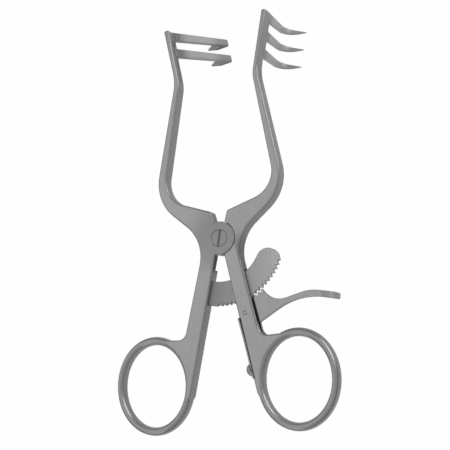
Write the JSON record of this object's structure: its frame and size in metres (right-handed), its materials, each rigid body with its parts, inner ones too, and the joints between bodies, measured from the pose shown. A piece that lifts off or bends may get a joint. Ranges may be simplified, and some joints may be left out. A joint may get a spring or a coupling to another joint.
{
  "type": "self retaining retractor",
  "caption": "Ring-handled self retaining retractor with pronged blades, a toothed ratchet bar and a thumb release lever, in satin stainless steel.",
  "frame": {"origin": "on the pivot axis, in the front face of the joint", "axes": "+Y towards the blade tips, +X towards the arm with the release lever, +Z out of the front face; the prongs point to -Z"},
  "size_m": [0.0787, 0.1395, 0.0251],
  "materials": {
    "satin_steel": "satin",
    "ratchet_steel": "matte",
    "spring_steel": "satin"
  },
  "bodies": {
    "right_half": {"right_arm": "satin_steel", "pivot_screw": "satin_steel", "lever_pin": "satin_steel", "leaf_spring": "spring_steel", "spring_screw": "spring_steel"},
    "left_half": {"left_arm": "satin_steel", "ratchet_bar": "ratchet_steel"},
    "lever": {"release_lever": "satin_steel"}
  },
  "joints": [
    {"name": "arm_spread", "type": "hinge", "parent": "right_half", "child": "left_half", "pos_m": [0, 0, -0.0023], "axis": [0, 0, 1], "range_deg": [-16, 20]},
    {"name": "lever_release", "type": "hinge", "parent": "right_half", "child": "lever", "pos_m": [0.0084, -0.0252, -0.0023], "axis": [0, 0, -1], "range_deg": [-7, 7], "stiffness_Nm_per_rad": 0.05, "deforming": ["leaf_spring"]}
  ]
}
